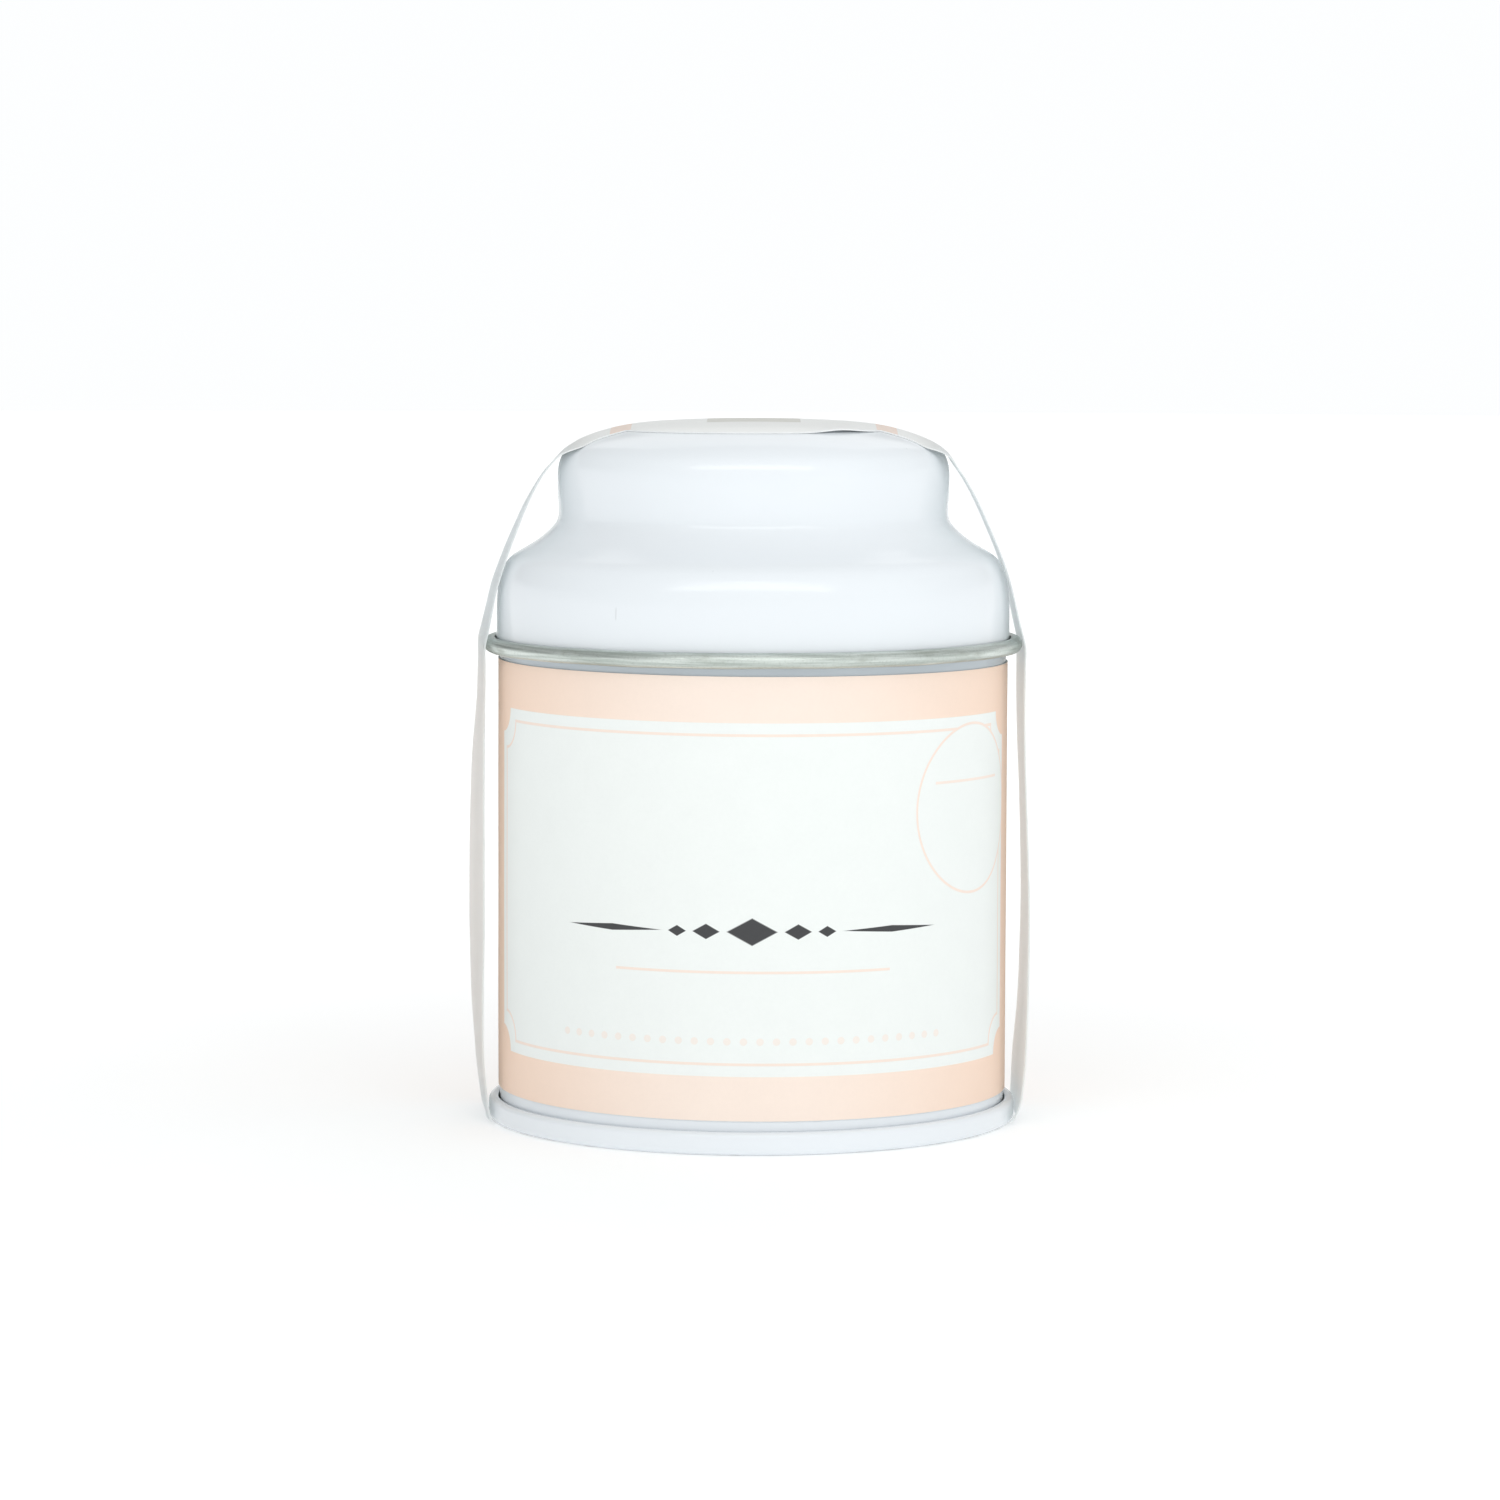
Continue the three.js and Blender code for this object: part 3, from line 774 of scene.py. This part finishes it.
def make_strip():
    per = 4
    run = [(-d, z) for d, z, _ in STRIP_LEFT[::-1]] + [(d, z) for d, z, _ in STRIP_RIGHT[1:]]
    mid = spline(run, per)
    length = [0.0]
    for a, b in zip(mid, mid[1:]):
        length.append(length[-1] + (b - a).length)
    crown = length[(len(STRIP_LEFT) - 1) * per]
    across = [-STRIP_HALF, -STRIP_HALF + 0.12] + [-STRIP_HALF + 0.12 + (2 * STRIP_HALF - 0.24) * i / 30 for i in range(1, 30)] + [STRIP_HALF - 0.12, STRIP_HALF]
    normals = []
    for i in range(len(mid)):
        d = mid[min(i + 1, len(mid) - 1)] - mid[max(i - 1, 0)]
        normals.append(Vector((-d.y, d.x)).normalized())  # outwards

    def place(i, y, off):
        n = normals[i]
        s = length[i] - crown
        y *= strip_width(mid[i].x) / STRIP_HALF
        k = (y / STRIP_HALF) ** 2
        side = -1.0 if mid[i].x < 0 else 1.0
        # slow buckling of the free paper down each side
        leg = smoothstep(abs(s), 26, 42) * smoothstep(mid[i].y, 3, 9)
        wave = 0.03 * leg * math.sin(s * 0.21 + y * 0.11 + (0.9 if side < 0 else 2.1))
        x = mid[i].x + n.x * (off + wave)
        z = mid[i].y + n.y * (off + wave)
        top = smoothstep(z, 60.4, 65.4)
        bow = 0.05 if side < 0 else 0.16 + 0.26 * math.exp(-(((z - 45) / 3) ** 2))
        a = turn_at(STRIP_LEFT if side < 0 else STRIP_RIGHT, z)
        wide = y * math.cos(a)
        # the front half of each foot is pressed round the base
        t = min(max((3 - z) / 2.7, 0.0), 1.0)
        press = (1 - math.sqrt(1 - t * t)) * smoothstep(-y, 0, 4)
        rnd = side * math.sqrt(max(x * x - wide * wide, 0.0))
        droop = 0.25 + 0.36 * smoothstep(abs(x), 2, 13)
        x -= side * (1 - top) * bow * k + y * math.sin(a)
        z -= droop * k * top
        # the round middle lies on the dome, but for one lifted length of its edge
        lying = 1 - smoothstep(abs(x), 15.2, 19)
        if lying > 0:
            r = math.hypot(x, wide)
            lift = 0.25 * math.exp(-(((x - 8.1) / 2.0) ** 2)) * smoothstep(r, 10.8, STRIP_DISC) * smoothstep(-y, 0, 3)
            on = lid_z(r) + 0.02 + STRIP_T / 2 + off * n.y + lift
            z += (on - z) * lying
        z += LID_TILT * x * smoothstep(z, 46, 60)
        return x + (rnd - x) * press, wide, z

    verts, uv = [], []
    ni, nj = len(mid), len(across)
    for side in range(2):
        off = STRIP_T / 2 if side else -STRIP_T / 2
        for i in range(ni):
            for y in across:
                verts.append(place(i, y, off))
                q = y * strip_width(mid[i].x) / STRIP_HALF
                uv.append(((length[i] - crown + 100.0) / 200.0, (q + 20.0) / 40.0))
    faces, fm = [], []

    def vid(side, i, j):
        return side * ni * nj + i * nj + j

    for i in range(ni - 1):
        for j in range(nj - 1):
            faces.append((vid(1, i, j), vid(1, i, j + 1), vid(1, i + 1, j + 1), vid(1, i + 1, j)))
            fm.append(0)
            faces.append((vid(0, i, j), vid(0, i + 1, j), vid(0, i + 1, j + 1), vid(0, i, j + 1)))
            fm.append(1)
        for j in (0, nj - 1):
            faces.append((vid(0, i, j), vid(0, i + 1, j), vid(1, i + 1, j), vid(1, i, j)))
            fm.append(1)
    for i in (0, ni - 1):
        for j in range(nj - 1):
            faces.append((vid(0, i, j), vid(0, i, j + 1), vid(1, i, j + 1), vid(1, i, j)))
            fm.append(1)
    o = mesh_object("strip_sheet", verts, faces, [MAT_STRIP, MAT_STRIP_BACK], fm, uv=uv)
    fix_normals(o)
    o.data.set_sharp_from_angle(angle=math.radians(40))
    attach(o, "root")
    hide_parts("seal_strip")
    return o


make_lid()
make_wall()
make_base()
make_label()
make_strip()


# --------------------------------------------------------------------------
# stage: floor, light, camera
# --------------------------------------------------------------------------
def make_floor():
    rings, n = [0.0, 30, 60, 120, 240, 480, 900, 1600, 2600], 96
    verts = [(0, 0, 0)]
    faces = []
    for r in rings[1:]:
        verts += [(r * math.sin(TAU * j / n), -r * math.cos(TAU * j / n), 0) for j in range(n)]
    for j in range(n):
        faces.append((0, 1 + j, 1 + (j + 1) % n))
    for i in range(len(rings) - 2):
        a, b = 1 + i * n, 1 + (i + 1) * n
        for j in range(n):
            k = (j + 1) % n
            faces.append((a + j, b + j, b + k, a + k))
    o = mesh_object("floor", verts, faces, [floor_material()])
    o.location.z = -0.00002
    return o


make_floor()


def area(name, loc, target, size, power, color=(1, 1, 1)):
    d = bpy.data.lights.new(name, "AREA")
    d.shape = "RECTANGLE"
    d.size, d.size_y = size
    d.energy = power
    d.color = color
    o = bpy.data.objects.new(name, d)
    o.location = loc
    o.rotation_euler = (Vector(target) - Vector(loc)).to_track_quat("-Z", "Y").to_euler()
    bpy.context.scene.collection.objects.link(o)
    return o


def polar(az, el, dist, z0=0.035):
    a, e = math.radians(az), math.radians(el)
    return (math.sin(a) * math.cos(e) * dist, -math.cos(a) * math.cos(e) * dist, z0 + math.sin(e) * dist)


area("key_strip", polar(-1, 36, 0.75), (0, 0, 0.045), (0.95, 0.12), 0.92, (1.0, 0.995, 0.985))
area("fill_right", polar(62, 22, 0.8), (0, 0, 0.03), (0.5, 0.6), 0.1)
area("back_soft", polar(180, 42, 0.9), (0, 0, 0.03), (0.7, 0.5), 0.6)

TENT, SIDE_TILT, FRONT_LIFT, TOP_LIFT = 0.33, 0.17, 0.38, 0.52
world = bpy.data.worlds.new("studio")
bpy.context.scene.world = world
world.use_nodes = True
wt = world.node_tree
wt.nodes.clear()
wo = wt.nodes.new("ShaderNodeOutputWorld")
bg = wt.nodes.new("ShaderNodeBackground")
tc = wt.nodes.new("ShaderNodeTexCoord")
sep = wt.nodes.new("ShaderNodeSeparateXYZ")
wt.links.new(tc.outputs["Generated"], sep.inputs[0])


def sky(op, a, b):
    n = wt.nodes.new("ShaderNodeMath")
    n.operation = op
    for i, v in enumerate((a, b)):
        if isinstance(v, bpy.types.NodeSocket):
            wt.links.new(v, n.inputs[i])
        else:
            n.inputs[i].default_value = v
    return n.outputs[0]


# a light tent: brightest in front and above, dimmer on the right and more so on the left
tent = sky("MULTIPLY_ADD", sep.outputs[0], SIDE_TILT)
tent.node.inputs[2].default_value = TENT
tent = sky("ADD", tent, sky("MULTIPLY", sky("MAXIMUM", sky("MULTIPLY", sep.outputs[1], -1.0), 0.0), FRONT_LIFT))
tent = sky("ADD", tent, sky("MULTIPLY", sky("MAXIMUM", sep.outputs[2], 0.0), TOP_LIFT))
# a plain white backdrop all round the horizon
up = wt.nodes.new("ShaderNodeMath")
up.operation = "ABSOLUTE"
wt.links.new(sep.outputs[2], up.inputs[0])
band = wt.nodes.new("ShaderNodeMapRange")
band.interpolation_type = "SMOOTHSTEP"
wt.links.new(up.outputs[0], band.inputs[0])
band.inputs[1].default_value = 0.07
band.inputs[2].default_value = 0.22
band.inputs[3].default_value = 1.0
band.inputs[4].default_value = 0.0
mx = wt.nodes.new("ShaderNodeMix")
mx.data_type = "FLOAT"
wt.links.new(band.outputs[0], mx.inputs[0])
wt.links.new(tent, mx.inputs[2])
mx.inputs[3].default_value = 1.0
bg.inputs["Color"].default_value = (0.985, 0.995, 1.0, 1.0)
wt.links.new(mx.outputs[0], bg.inputs["Strength"])
wt.links.new(bg.outputs[0], wo.inputs["Surface"])

vs = bpy.context.scene.view_settings
vs.view_transform = "Standard"
vs.look = "None"
vs.exposure = 0.0
vs.gamma = 1.0

cam_data = bpy.data.cameras.new("camera")
cam = bpy.data.objects.new("camera", cam_data)
bpy.context.scene.collection.objects.link(cam)
cam_data.sensor_width = 36.0
cam_data.lens = 130.2
cam_data.clip_start, cam_data.clip_end = 0.01, 20.0
cam.location = (-0.00025, -0.510, 0.07959)
aim = Vector((-0.00025, 0.0, 0.03469))
look = (aim - cam.location).to_track_quat("-Z", "Y").to_matrix().to_4x4()
roll = Matrix.Rotation(math.radians(0.2), 4, "Z")
cam.rotation_euler = (look @ roll).to_euler()
bpy.context.scene.camera = cam
